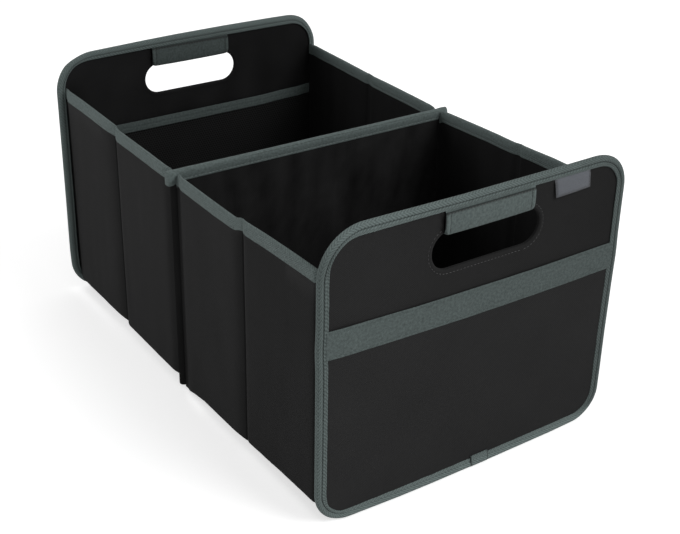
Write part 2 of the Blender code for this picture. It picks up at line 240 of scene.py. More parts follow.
class Graph:
    """A material made of nodes. Numbers that are the same all over go on the shader's own sockets."""

    def __init__(self, name, colour, roughness, sheen=0.0, sheen_roughness=0.5, specular=0.5):
        self.material = bpy.data.materials.new(name)
        self.material.use_nodes = True
        self.tree = self.material.node_tree
        self.shader = self.tree.nodes["Principled BSDF"]
        for key, value in (
            ("Base Color", (*colour, 1.0)), ("Roughness", roughness), ("Sheen Weight", sheen),
            ("Sheen Roughness", sheen_roughness), ("Specular IOR Level", specular),
        ):
            self.shader.inputs[key].default_value = value
        self.material.diffuse_color = (*colour, 1.0)

    def node(self, kind, inputs=None, **props):
        made = self.tree.nodes.new("ShaderNode" + kind)
        for key, value in props.items():
            setattr(made, key, value)
        for key, value in (inputs or {}).items():
            if isinstance(value, bpy.types.NodeSocket):
                self.tree.links.new(value, made.inputs[key])
            else:
                made.inputs[key].default_value = value
        return made

    def math(self, operation, a, b=0.0):
        return self.node("Math", {0: a, 1: b}, operation=operation).outputs[0]

    def cloth(self):
        """The place on the flat cloth in millimetres, whole and as its two directions."""
        where = self.node("UVMap", uv_map="cloth").outputs[0]
        split = self.node("SeparateXYZ", {0: where})
        return where, split.outputs[0], split.outputs[1]

    def wave(self, value, pitch):
        """From -1 to 1 once every pitch."""
        return self.math("SINE", self.math("MULTIPLY", value, 2.0 * math.pi / pitch))

    def cloud(self, vector, scale, detail=2.0):
        """Smooth noise from about -1 to 1."""
        made = self.node("TexNoise", {"Vector": vector, "Scale": scale, "Detail": detail})
        return self.math("MULTIPLY", self.math("SUBTRACT", made.outputs[0], 0.5), 2.6)

    def total(self, *parts, base=None):
        """The sum of values, each times its weight, and of a base."""
        values = [self.math("MULTIPLY", value, weight) for value, weight in parts] + ([] if base is None else [base])
        made = values[0]
        for value in values[1:]:
            made = self.math("ADD", made, value)
        return made

    def scaled(self, colour, *parts):
        """The colour, lighter or darker by weighted values around 0 and by the piece's per corner factor, mostly
        painted light and shade.
        """
        tone = self.node("Attribute", attribute_name="tone").outputs["Fac"]
        factor = self.math("MULTIPLY", self.total(*parts, base=1.0), tone)
        made = self.node("VectorMath", {0: colour, "Scale": factor}, operation="SCALE")
        self.tree.links.new(made.outputs[0], self.shader.inputs["Base Color"])

    def bump(self, height, distance, strength=1.0):
        made = self.node("Bump", {"Height": height, "Distance": distance, "Strength": strength})
        self.tree.links.new(made.outputs[0], self.shader.inputs["Normal"])


def tape_material(name, colour, pitch=3.4, ribs=0.22, grain=0.2):
    """Herringbone tape: slanting ribs that turn back along the middle of the tape, and an uneven grain."""
    g = Graph(name, colour, 0.85, sheen=0.04, sheen_roughness=0.4, specular=0.16)
    where, u, v = g.cloth()
    wobble = g.math("MULTIPLY", g.cloud(where, 0.16), 0.5)
    turned = g.math("MULTIPLY", g.math("PINGPONG", g.math("ADD", v, 40.0), 5.0), 1.35)
    rib = g.wave(g.math("ADD", g.math("ADD", u, turned), wobble), pitch)
    cross = g.wave(v, 1.7)
    fine = g.math("MULTIPLY", g.wave(u, 0.7), g.wave(v, 0.7))
    speck = g.cloud(where, 0.42, 2.0)
    fibre = g.cloud(where, 1.9, 2.0)
    mottle = g.cloud(where, 0.05, 3.0)
    g.scaled(colour, (rib, ribs), (cross, ribs * 0.4), (speck, grain), (fibre, grain * 0.5), (mottle, 0.08))
    height = g.total((rib, 4.0 * ribs), (cross, ribs), (fine, 0.2), (speck, 0.4), (fibre, 0.3))
    g.bump(height, 0.00016, 1.0)
    return g.material


def cloth_material(name, colour, pitch=0.85, sheen=0.015, roughness=0.85):
    """Plain woven polyester: a fine over and under weave, faint slubs and broad mottling."""
    g = Graph(name, colour, roughness, sheen=sheen, sheen_roughness=0.4, specular=0.12)
    where, u, v = g.cloth()
    weave = g.math("MULTIPLY", g.wave(u, pitch * 2.0), g.wave(v, pitch * 2.0))
    threads = g.math("ADD", g.math("ABSOLUTE", g.wave(u, pitch * 2.0)), g.math("ABSOLUTE", g.wave(v, pitch * 2.0)))
    stretched = g.node("Mapping", {0: where, 3: (0.35, 1.6, 1.0)}).outputs[0]
    slub = g.cloud(stretched, 0.5, 2.0)
    fibre = g.cloud(where, 1.1, 3.0)
    mottle = g.cloud(where, 0.016, 3.0)
    g.scaled(colour, (weave, 0.13), (slub, 0.1), (fibre, 0.1), (mottle, 0.13))
    height = g.total((weave, 0.8), (threads, 0.35), (fibre, 0.3))
    g.bump(height, 0.00012, 0.6)
    return g.material


def thread_material(name, colour):
    """Sewing thread, twisted."""
    g = Graph(name, colour, 0.6, sheen=0.2, specular=0.4)
    _, u, v = g.cloth()
    twist = g.wave(g.math("ADD", u, v), 0.35)
    g.scaled(colour, (twist, 0.15))
    return g.material


def tag_material():
    """Closely woven satin label, blank."""
    g = Graph("tag_satin", TAG, 0.55, sheen=0.1, specular=0.45)
    where, u, v = g.cloth()
    weave = g.math("MULTIPLY", g.wave(u, 0.5), g.wave(v, 0.35))
    row = g.wave(v, 0.7)
    g.scaled(TAG, (weave, 0.08), (row, 0.06), (g.cloud(where, 0.3, 3.0), 0.07))
    g.bump(g.math("ADD", row, weave), 0.00006, 0.6)
    return g.material


tape = tape_material("slate_tape", TAPE)
hem_tape = tape_material("slate_hem", (0.0700, 0.0875, 0.0850), pitch=1.7, ribs=0.06, grain=0.42)
wall_tape = tape_material("slate_wall_tape", TAPE, pitch=2.8, ribs=0.16, grain=0.36)
black = cloth_material("black_polyester", BLACK)
lining_shaded = cloth_material("black_lining_shaded", LINING_SHADED, pitch=0.6, roughness=0.85)
netting = cloth_material("black_netting", (0.0180, 0.0185, 0.0185), pitch=0.5, sheen=0.05)
thread = thread_material("grey_thread", (0.085, 0.106, 0.103))
dark_thread = thread_material("black_thread", (0.012, 0.013, 0.013))
hole_thread = thread_material("hole_thread", (0.075, 0.075, 0.077))
tag_cloth = tag_material()
tag_thread = thread_material("tag_thread", (0.07, 0.073, 0.085))


def finish_piece(piece, name, materials, body, replaced=(), solid=True, sharp=50.0):
    """Makes a piece that rides on one body and stands for some solids of the part."""
    made = piece.make(name, materials, solid, sharp)
    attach(made, body)
    if replaced:
        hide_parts(*replaced)
    return made


# The end panels, in the slightly uneven shape they have once sewn. end is -1 at the front and 1 at the back.

# Hand hole: middle, width, bottom, top. Grip: middle, half width, bottom.
# Corner radii: foot right, top right, top left, foot left.
HOLES = {-1: (7.3, 116.6, 209.6, 245.6), 1: (-4.6, 112.0, 213.0, 247.2)}
GRIPS = {-1: (7.7, 47.5, 242.2), 1: (-4.9, 46.6, 244.6)}
CORNERS = {-1: (30.0, 36.0, 43.0, 34.0), 1: (30.0, 38.0, 41.0, 34.0)}


def settle(end, x, z, far):
    """Where a point of a flat panel lies once sewn. far is its distance along the box from the middle."""
    left, right = ease(-118.0, -150.0, x), ease(118.0, 154.0, x)
    high = ease(258.0, 273.0, z)
    if end < 0:
        sewn = 0.7 * math.exp(-((z - 172.0) / 14.0) ** 2)
        bulge = curve(z, (0.0, 0.9), (50.0, 1.7), (92.0, 2.0), (150.0, 3.3), (235.0, 3.8), (262.0, 4.0), (275.0, 3.3))
        x += right * (sewn + bulge)
        x -= left * sewn
        z += high * curve(
            x, (-150.0, -0.2), (-100.0, -0.5), (-20.0, -1.6), (40.0, -1.4), (95.0, -1.4), (125.0, -1.1), (150.0, 0.3))
        bow = curve(x, (-140.0, -0.6), (-75.0, 2.2), (-40.0, 2.8), (30.0, 2.8), (100.0, 2.0), (145.0, 0.2))
        far += bow * (0.5 * ease(11.0, 0.0, z) + 0.5 * ease(75.0, 0.0, z))
    else:
        x -= left * curve(z, (15.0, 0.6), (50.0, 1.9), (110.0, 1.4), (235.0, 0.9), (265.0, 0.3))
        x -= right * 1.3 * ease(200.0, 235.0, z) * ease(275.0, 258.0, z)
        z += high * curve(
            x, (-130.0, -2.6), (-100.0, -1.7), (-60.0, -0.4), (-20.0, 0.5), (40.0, 1.0), (100.0, 0.7), (130.0, 0.2))
    return x, z, far


def panel_outline(end, start, inset, radii):
    """Points once round a flat panel, this far inside its edge: x, z. It starts at the tape's joint."""
    points = []
    side, high, low = inset

    def straight(a, b, count):
        points.extend((mix(a[0], b[0], i / count), mix(a[1], b[1], i / count)) for i in range(count))

    def bend(cx, cz, radius, degrees):
        for i in range(18):
            a = math.radians(degrees + 90.0 * i / 18)
            points.append((cx + radius * math.cos(a), cz + radius * math.sin(a)))

    w, top = HALF_WIDTH - side, HEIGHT - high
    a, b, c, d = radii
    straight((start, low), (w - a, low), 24)
    bend(w - a, low + a, a, -90.0)
    straight((w, low + a), (w, top - b), 34)
    bend(w - b, top - b, b, 0.0)
    straight((w - b, top), (c - w, top), 44)
    bend(c - w, top - c, c, 90.0)
    straight((-w, top - c), (-w, low + d), 34)
    bend(d - w, low + d, d, 180.0)
    straight((d - w, low), (start, low), 24)
    return points


def panel_rim(prefix, end):
    """The tape folded over the panel's edge all round."""
    start = -end * 13.6
    radii = CORNERS[end]
    line = panel_outline(end, start, (0.0, 0.0, 0.0), radii)
    front = panel_outline(end, start, (10.1, 10.4, 9.0), [r - cut for r, cut in zip(radii, (9.4, 12.3, 14.0, 12.5))])
    behind = panel_outline(end, start, (8.0, 9.4, 9.0), [r - cut for r, cut in zip(radii, (9.0, 11.0, 12.0, 11.0))])
    piece = Piece()
    rows, across, runs = [], None, girth(line)
    for (x, z), s, face_edge, back_edge in zip(line, runs, front, behind):
        dx, dz, ex, ez = face_edge[0] - x, face_edge[1] - z, back_edge[0] - x, back_edge[1] - z
        size, back_size = math.hypot(dx, dz), math.hypot(ex, ez)
        w = size + 0.16 * ripple(s, 0.0, 1 + end, 9.0) + 0.12 * math.sin(s * 1.85)
        b = back_size + 0.14 * ripple(s, 0.0, 5 + end, 9.0)
        lift = 0.12 * ripple(s, 3.0, 2 + end, 14.0)
        groove = 0.7 + 0.12 * math.sin(s * 1.85)
        section = [
            (w, 1.25), (w + 0.03, 0.8), (w - 0.3, 0.45), (w - 0.9, 0.3 - lift), (w - 1.5, 0.34 - lift), (w - 2.0, 0.5),
            (w - 2.5, 0.32), (mix(w - 2.5, 6.2, 0.5), 0.14 - lift), (6.2, 0.24), (5.6, 0.28 + groove), (5.0, 0.2),
            (4.2, -0.08 - lift), (3.2, -0.2 - lift), (2.3, -0.1 - lift), (1.4, 0.28), (0.65, 0.95), (0.15, 1.9), (0.0, 2.9),
            (0.12, 3.8), (0.5, 4.7), (1.15, 5.45), (2.0, 6.05), (3.0, 6.5), (4.0, 6.8), (5.0, 6.75), (5.5, 6.45), (6.0, 6.75),
            (b - 1.6, 6.95), (b - 0.7, 6.85), (b - 0.1, 6.5), (b, 6.0), (b - 0.3, 5.7), (1.8, 5.3), (1.6, 1.6), (w - 0.6, 1.4),
        ]
        row = []
        for d, y in section:
            rear = y > 3.0 and d > 1.9
            part, ux, uz = (d / back_size, ex, ez) if rear else (d / size, dx, dz)
            nx, nz, far = settle(end, x + ux * part, z + uz * part, FACE - y)
            row.append((nx, end * far, nz))
        rows.append(row)
        across = across or girth(section)
    first = piece.lattice(rows, lambda i, j: (runs[i], across[j]), 0, around=True, along=True)
    # Painted shade along the tape's grooves and edges, fading out along the bottom edge.
    shaded = ((0, 0.5), (4, 0.9), (5, 0.75), (8, 0.8), (9, 0.5), (10, 0.8), (24, 0.8), (25, 0.45), (26, 0.8), (30, 0.5))
    for j, shade in shaded:
        for i, row in enumerate(rows):
            piece.shades[first + i * len(row) + j] = mix(1.0, shade, ease(6.0, 24.0, row[j][2]))
    for column, out in ((5, end), (25, -end)):
        piece.column_seam(rows + rows[:1], column, (0, out, 0), 0.0, 1, 2.6, 0.8, 0.34, 0.04)
    piece.tone = lambda x, y, z: rim_painted_light(end, x, z)
    finish_piece(piece, prefix + "_rim_tape", [tape, thread], prefix + "_panel", [prefix + "_binding"], sharp=60.0)


def tape_joint(prefix, end):
    """The short cover over the joint of the rim tape, on the panel's bottom edge."""
    cover = Piece()
    near, far = sorted((-end * 3.6, -end * 23.7))
    stations = [near, near + 0.15, near + 1.0] + [mix(near + 1.6, far - 1.6, i / 8) for i in range(9)]
    stations += [far - 1.0, far - 0.15, far]
    outline = [
        (10.8, 0.8), (11.0, 0.2), (10.4, -0.45), (8.0, -0.65), (5.2, -0.6), (3.6, -0.6), (2.2, -0.62), (0.9, 0.0), (-0.1, 1.2),
        (-0.3, 3.2), (0.0, 4.8), (0.9, 6.0), (2.2, 6.8), (5.2, 7.3), (9.0, 7.35), (10.2, 7.1), (10.7, 6.6), (10.4, 6.1),
        (1.2, 5.6), (1.2, 1.0), (10.2, 1.0),
    ]
    rows, across = [], girth(outline)
    for k, x in enumerate(stations):
        pull = {0: 0.55, 1: 0.2, len(stations) - 1: 0.55, len(stations) - 2: 0.2}.get(k, 0.0)
        row = []
        for z, y in outline:
            nx, nz, out = settle(end, x, max(z, 0.0), FACE - mix(y, 3.5, pull * 0.25) - 0.04 * ripple(x, 5.0, 9, 5.0))
            row.append((nx, end * out, nz + min(z, 0.0) + (pull * 0.5 if z < 5 else -pull * 0.5) + 0.35))
        rows.append(row)
    first = cover.lattice(rows, lambda i, j: (stations[i], across[j]), 0, around=True)
    wide = len(outline)
    for base, flip in ((first, 1), (first + (len(stations) - 1) * wide, -1)):
        order = list(range(wide))[::flip]
        cover.face([base + k for k in order], [(outline[k][1], outline[k][0]) for k in order])
        # Painted shade at both ends of the cover, where it meets the rim tape.
        for k in range(wide):
            cover.shades[base + k] = 0.2
            cover.shades[base + k + flip * wide] = 0.3
            cover.shades[base + k + 2 * flip * wide] = 0.55
    for row in (rows[4], rows[-5]):
        cover.seam([row[3], row[6]], (0, end, 0), 1, 2.2, 0.8, 0.5, 0.25)
    cover.tone = lambda x, y, z: rim_painted_light(end, x, z)
    finish_piece(cover, prefix + "_tape_joint", [tape, thread], prefix + "_panel", [prefix + "_cover"], sharp=60.0)


def rim_painted_light(end, x, z):
    """Painted light on the front panel's tape: lighter along the bottom, the lower left and the top left, darker up the
    right side and towards the top right. The back panel's tape gets none.
    """
    if end > 0:
        return 1.0
    side = curve(z, (20.0, 1.1), (260.0, 0.84)) if x < 0 else 0.80
    tone = mix(side, curve(x, (-140.0, 1.22), (140.0, 0.86)), ease(250.0, 268.0, z))
    return mix(tone, 1.34, ease(16.0, 4.0, z))


# The cloth of an end panel, with its hand hole

def hole_edge(end, grow=0.0):
    """The hand hole's outline, moved outwards into the cloth."""
    centre, width, low, high = HOLES[end]
    middle, radius = (low + high) / 2, (high - low) / 2
    half = width / 2 - radius
    points = []
    for side in (1, -1):
        for i in range(25):
            a = math.radians(180.0 * i / 24 - side * 90.0)
            reach = radius + grow
            points.append((centre + side * half + reach * math.cos(a), middle + reach * math.sin(a)))
        for i in range(1, 16):
            points.append((centre + side * half * (1.0 - i / 8.0), middle + side * (radius + grow)))
    return points


def ray_to_rim(cx, cz, dx, dz, inset):
    """Where a ray from inside meets the panel's outline."""
    w, h = HALF_WIDTH - inset, HEIGHT - inset
    t, f = TOP_RADIUS - inset, FOOT_RADIUS - inset
    low, high = 0.0, 600.0
    for _ in range(36):
        mid = (low + high) / 2
        x, z = cx + dx * mid, cz + dz * mid
        inside = abs(x) < w and inset < z < h
        if inside and z > h - t and abs(x) > w - t:
            inside = math.hypot(abs(x) - (w - t), z - (h - t)) < t
        if inside and z < inset + f and abs(x) > w - f:
            inside = math.hypot(abs(x) - (w - f), z - (inset + f)) < f
        low, high = (mid, high) if inside else (low, mid)
    return cx + dx * low, cz + dz * low


def panel_cloth(prefix, end):
    """Outer skin, inner skin and the turned in edge of the hand hole, as one shell round the board."""
    centre, _, hole_low, hole_high = HOLES[end]
    hole = hole_edge(end, -0.7)
    middle = (hole_low + hole_high) / 2
    count = len(hole)
    rim = []
    for i, (x, z) in enumerate(hole):
        dx, dz = x - centre, (z - middle) * 2.2
        size = math.hypot(dx, dz)
        rim.append(ray_to_rim(centre, middle, dx / size, dz / size, 4.5))
    outer = FACE - (1.75 if end < 0 else 1.3)
    inner = FACE - DEPTH + (1.4 if end < 0 else 2.1)
    shares = [0.0, 0.006, 0.014, 0.024, 0.036, 0.05, 0.07, 0.10] + [0.10 + 0.90 * k / 26 for k in range(1, 27)]

    def ring(share, side):
        points = []
        for (hx, hz), (rx, rz) in zip(hole, rim):
            x, z = mix(hx, rx, share), mix(hz, rz, share)
            gone = share * math.hypot(rx - hx, rz - hz)
            roll = 0.9 * (1.0 - ease(0.0, 1.2, gone))
            welt = 0.35 * math.exp(-((gone - 2.2) / 1.7) ** 2) - 0.25 * math.exp(-((gone - 4.7) / 0.7) ** 2)
            soft = 0.38 * ripple(x, z, 3 * end + side, 62.0) + 0.16 * ripple(x, z * 1.4, 5 * end + side, 21.0)
            soft *= ease(0.0, 18.0, gone) * (1.0 - ease(0.86, 0.97, share))
            x, z, face = settle(end, x, z, outer if side > 0 else inner)
            points.append((x, end * (face + side * (welt - roll) + clamp(soft, -0.5, 0.9) * side * 0.8), z))
        return points

    piece = Piece()
    # The outer skin takes the black cloth; the inner skin and the hole's turned in edge take the lining, whose darker
    # colour is painted shade.
    for side in (1, -1):
        rows = [ring(share, side) for share in shares]
        flat = [[(p[0], p[2]) for p in row] for row in rows]
        piece.lattice(rows, lambda i, j: flat[i][j % count], 0 if side > 0 else 1, around=True)
    rows = []
    for t, swell in ((0.0, 0.0), (0.25, 0.25), (0.5, 0.35), (0.75, 0.25), (1.0, 0.0)):
        row = []
        for p, q in zip(ring(0.0, 1), ring(0.0, -1)):
            x, y, z = (mix(a, b, t) for a, b in zip(p, q))
            row.append((x - (x - centre) * 0.004 * swell, y, z + (middle - z) * 0.02 * swell))
        rows.append(row)
    runs = girth(hole)
    piece.lattice(rows, lambda i, j: (runs[j], i * 1.4), 1, around=True)
    for side in ((1, -1) if end < 0 else (1,)):
        line = [(x, end * ((outer if side > 0 else inner) + side * 0.02), z) for x, z in hole_edge(end, 3.3)]
        piece.seam(line + line[:1], (0, end * side, 0), 2, 2.4, 1.3, 0.5, 0.3)
    grip_edge = GRIPS[end][0] - GRIPS[end][1]

    # Painted light across the panel cloth: lighter on the left, a painted shadow strip beside the grip's left edge, and
    # painted shade behind the net pocket. The back panel also gets random blotches.
    def tone(x, y, z):
        grip_shadow = 0.85 * math.exp(-((x - grip_edge + 0.8) / 2.0) ** 2) * ease(240.0, 244.0, z)
        if end < 0:
            return curve(x, (-150.0, 0.98), (150.0, 0.56)) * (1.0 - grip_shadow)
        net_shade = mix(0.6, 1.0, ease(MESH_TOP - 2.0, MESH_TOP + 2.0, z))
        blotch = 1.0 + 0.3 * ripple(x, z * 0.7, 19, 26.0)
        return net_shade * curve(x, (-150.0, 1.36), (150.0, 0.76)) * blotch * (1.0 - grip_shadow)

    piece.tone = tone
    made = piece.make(prefix + "_panel_cloth", [black, lining_shaded, hole_thread], solid=False, sharp=60.0)
    work = bmesh.new()
    work.from_mesh(made.data)
    bmesh.ops.remove_doubles(work, verts=work.verts, dist=0.00001)
    bmesh.ops.recalc_face_normals(work, faces=work.faces)
    work.to_mesh(made.data)
    work.free()
    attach(made, prefix + "_panel")
    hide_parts(prefix + "_outer_skin", prefix + "_inner_skin", prefix + "_core")


panel_cloth("front", -1)
panel_cloth("back", 1)
for prefix, end in (("front", -1), ("back", 1)):
    panel_rim(prefix, end)
    tape_joint(prefix, end)


# The grip wrapped round the top of the hand hole

def grip(prefix, end):
    """A tape wrap from under the rim tape on one side, round the top of the hand hole and up the other side."""
    centre, half, low = GRIPS[end]
    out_leg, in_leg = (-0.9, DEPTH) if end < 0 else (-0.1, DEPTH + 0.5)
    high = GRIP_HIGH + (1.0 if end < 0 else 2.4)
    under = HEIGHT - (11.2 if end < 0 else 9.0)
    # Painted shade in a band just under the rim tape's edge.
    shade_under_rim = ((0.6, 0.6), (1.4, 0.28), (2.2, 0.45), (3.0, 0.95))
    steps = [(0.0, 1.0), (1.2, 1.0)] + [(high - under + d, shade) for d, shade in shade_under_rim]
    steps += [(d, 1.0) for d in (6.5, 9.0, 12.0, 16.0)]
    profile = [(out_leg, high - d) for d, _ in steps]
    middle, radius = (out_leg + in_leg) / 2, (in_leg - out_leg) / 2
    for i in range(1, 14):
        a = math.pi * i / 14
        profile.append((middle - radius * math.cos(a), low + 2.4 - 2.4 * math.sin(a) ** 0.8))
    profile += [(in_leg, high - d) for d, _ in reversed(steps)]
    back = [(in_leg - 1.3, high), (in_leg - 1.3, low + 2.6), (out_leg + 1.3, low + 2.6), (out_leg + 1.3, high)]
    loop = profile + back
    stations = [-1.0, -0.9965, -0.99, -0.975, -0.955, -0.935, -0.915, -0.905, -0.89]
    stations += [mix(-0.86, 0.86, i / 26) for i in range(27)] + [-s for s in reversed(stations)]
    piece = Piece()
    rows, across = [], girth(loop)
    for s in stations:
        x = centre + s * half
        gone = (1.0 - abs(s)) * half
        tight = rounded(gone, 0.55)
        fold = 0.42 * math.exp(-((gone - 1.9) / 1.5) ** 2) - 0.3 * math.exp(-((gone - 4.3) / 0.6) ** 2)
        corner = max(0.0, 4.5 - gone)
        cut = 4.5 - math.sqrt(max(0.0, 4.5 ** 2 - corner ** 2)) - 0.5 * (1.0 - s * s)
        row = []
        for k, (y, z) in enumerate(loop):
            if k < len(profile):
                away = -1.0 if y < middle else 1.0
                sunk = (2.1 if end < 0 else 1.6) * ease(under - 2.4, under - 0.4, z)
                z += cut * ease(low + 8.0, low + 1.0, z)
                soft = 0.22 * ripple(x, z, 11 + end, 16.0) + 0.12 * ripple(x * 1.5, z, 12 + end, 7.0)
                swell = 0.65 * math.sin(math.pi * ease(high + 2.0, low - 3.0, z)) + soft * 0.5 + fold - sunk
                if y != middle:
                    y += away * swell * (0.35 + 0.65 * abs(y - middle) / radius)
                y = mix(middle + (y - middle) * 0.80, y, tight)
            row.append((x, end * (FACE - y), z))
        rows.append(row)
    first = piece.lattice(rows, lambda i, j: (across[j], stations[i] * half), 0, around=True)
    wide = len(loop)
    # Painted shade along the side seams and under the rim tape.
    for i, s in enumerate(stations):
        seam = 0.7 if abs((1.0 - abs(s)) * half - 4.1) < 0.5 else 1.0
        for k, (_, shade) in enumerate(steps):
            piece.shades[first + i * wide + k] = min(seam, shade)
            piece.shades[first + i * wide + len(profile) - 1 - k] = min(seam, shade)
        for k in range(len(steps), len(profile) - len(steps)):
            piece.shades[first + i * wide + k] = seam
    # The grip's end faces take the black cloth: a painted shadow gap beside the grip.
    piece.ends(first, rows, loop, 3)
    for face, away in ((out_leg - 0.35, -1), (in_leg + 0.35, 1)):
        for side in (-1, 1):
            x = centre + side * (half - 4.3)
            line = [(x, end * (FACE - face), mix(low + 3.0, under - 2.0, k / 6)) for k in range(7)]
            piece.seam(line, (0, -end * away, 0), 2, 2.2, 0.9, 0.6, 0.3)
        top = [(centre + mix(1.0 - half, half - 1.0, k / 30), end * (FACE - face), under - 1.8) for k in range(31)]
        piece.seam(top, (0, -end * away, 0), 2, 2.3, 1.0, 0.8, 0.3)
    # Painted light: the back panel's grip is darker than the front one. Both are lighter on their side hems.
    shade = 1.12 if end < 0 else 0.74
    piece.tone = lambda x, y, z: shade * (1.12 if abs(x - centre) > half - 4.1 else 1.0)
    made = finish_piece(piece, prefix + "_grip_wrap", [hem_tape, thread, dark_thread, black], prefix + "_panel",
                        [prefix + "_grip"], sharp=65.0)


grip("front", -1)
grip("back", 1)


# The front pocket, its hem and the blank tag

def half_at(z, inset):
    """Half the panel's width at a height, for cloth that ends under the rim tape."""
    w, f = HALF_WIDTH - inset, FOOT_RADIUS - inset
    if z < inset + f:
        return w - f + math.sqrt(max(0.0, f * f - (inset + f - z) ** 2))
    return w


def front_pocket():
    """The pocket's cloth, open at the top, and the hem band along it."""
    piece = Piece()
    columns, levels = 72, 44
    rows, flat = [], []
    for i in range(levels + 1):
        z = mix(4.2, POCKET_TOP - 1.0, i / levels)
        half = half_at(z, 4.0)
        row = []
        for j in range(columns + 1):
            t = 2.0 * j / columns - 1.0
            free = (1.0 - ease(0.86, 0.99, abs(t))) * ease(10.0, 40.0, z)
            out = pocket_swell(half * t, z) * free
            x, height, far = settle(-1, half * t, z, FACE - 1.05 + out)
            row.append((x, -far, height))
        rows.append(row)
        flat.append([(p[0], p[2]) for p in row])
    piece.lattice(rows, lambda i, j: flat[i][j])
    # Painted light: the pocket cloth lighter on the left, darker on the right.
    piece.tone = lambda x, y, z: curve(x, (-150.0, 1.04), (150.0, 0.88))
    made = finish_piece(piece, "front_pocket_cloth", [black], "front_panel", ["front_pocket"], solid=False)
    hem = Piece()
    low, high = POCKET_TOP - POCKET_HEM, POCKET_TOP
    section = banded(
        low, ((0.35, 0.2), (0.6, 0.0), (0.85, 0.5), (0.9, 1.6), (0.68, 2.3), (0.88, 3.2), (0.95, 8.0), (0.95, 13.0),
              (0.95, 18.0)),
        high, ((0.9, 3.6), (0.68, 2.7), (0.9, 1.8), (0.75, 0.5), (0.4, -0.05), (0.0, 0.1), (-0.25, 0.9), (-0.35, 3.0)))
    section += [(-0.3, low + 4.0), (-0.1, low + 3.0)]
    rows = []
    stations = [mix(-(HALF_WIDTH - 8.0), HALF_WIDTH - 8.0, k / 90) for k in range(91)]
    for s in stations:
        free = 1.0 - ease(0.86, 0.97, abs(s) / HALF_WIDTH)
        hang = curve(s, (-145.0, 4.3), (-116.0, 3.0), (-87.0, 1.8), (-40.0, 0.6), (0.0, 0.2), (60.0, -0.4), (145.0, 0.2))
        row = []
        for out, z in section:
            out += (pocket_swell(s, z) + 0.22 * ripple(s, z * 0.6, 25, 30.0)) * free
            x, height, far = settle(-1, s, z + 0.2 * ripple(s, 0.0, 26, 60.0) * free, FACE - 1.0 + out)
            row.append((x, -far, height + hang))
        rows.append(row)
    hem.tube(rows, stations, section)
    for k in (4, 10):
        hem.column_seam(rows[2:-2], k, (0, -1, 0), 0.1, 0, 2.6, 1.1, 0.5, 0.3)
    # Painted light: the hem band lighter on the left, darker on the right.
    hem.tone = lambda x, y, z: curve(x, (-150.0, 1.05), (150.0, 0.86))
    band = finish_piece(hem, "front_pocket_band", [hem_tape, thread], "front_panel", ["front_pocket_hem"])


def pocket_swell(x, z):
    """How far the pocket cloth stands out away from its sewn edges."""
    belly = 0.4 * math.sin(math.pi * min(1.0, z / POCKET_TOP) * 0.62)
    return belly + 0.42 * ripple(x, z, 21, 75.0) + 0.16 * ripple(x, z, 22, 24.0)


def front_tag():
    """A closed label of two layers, hanging from under the rim tape."""
    tag = Piece()
    high = 267.0
    columns, levels = 24, 12

    def sides(z):
        return 79.2 - 0.13 * (z - 249.0), 119.5 - 0.05 * (z - 249.0)

    for side in (1, -1):
        rows, flat = [], []
        for i in range(levels + 1):
            row = []
            for j in range(columns + 1):
                u, v = j / columns, i / levels
                low = mix(247.2, 248.2, u)
                z = mix(low, high, v)
                x = mix(*sides(z), u)
                edge, foot = min(u, 1 - u) * 40.3, v * (high - low)
                hem_line = -0.16 * math.exp(-((foot - 1.8) / 0.5) ** 2) - 0.16 * math.exp(-((edge - 1.8) / 0.5) ** 2)
                lift = 0.4 + 0.4 * math.sin(math.pi * u) * (1 - v) + 0.55 * (1 - v) ** 3 + 0.7 * (1 - u) * (1 - v)
                thick = 0.75 * min(1.0, min(edge, foot) / 0.5 + 0.25)
                under = ease(260.5, 263.6, z)
                out = mix(lift, -0.4, under) + (thick + hem_line if side > 0 else 0.0)
                row.append((x, -(FACE - 1.15 + out), z))
            rows.append(row)
            flat.append([(p[0], p[2]) for p in row])
        tag.lattice(rows, lambda i, j: flat[i][j])
    rim = [(0, j) for j in range(columns + 1)] + [(i, columns) for i in range(1, levels + 1)]
    rim += [(levels, j) for j in range(columns - 1, -1, -1)] + [(i, 0) for i in range(levels - 1, 0, -1)]
    wide, second = columns + 1, (levels + 1) * (columns + 1)
    for (i, j), (p, q) in zip(rim, rim[1:] + rim[:1]):
        a, b = i * wide + j, p * wide + q
        tag.face([a, b, second + b, second + a], [(j, i), (q, p), (q, p), (j, i)])
    for foot in (81.2, 117.9):
        tag.seam([(foot, -(FACE + 0.4), 249.5), (foot - 1.0, -(FACE + 0.1), 259.5)], (0, -1, 0), 1, 1.6, 0.8, 0.35, 0.2)
    # Painted shade along the label's edges.
    for k, (x, _, z) in enumerate(tag.points[:2 * second]):
        left, right = sides(z)
        edge = min(x - left, right - x, z - 247.5)
        tag.shades[k] = 0.35 if edge < 1.0 else 0.62 if edge < 2.2 else 1.0
    made = finish_piece(tag, "front_tag_label", [tag_cloth, tag_thread], "front_panel", ["front_tag"], sharp=70.0)


front_pocket()
front_tag()


# The net pocket on the back panel's inner face

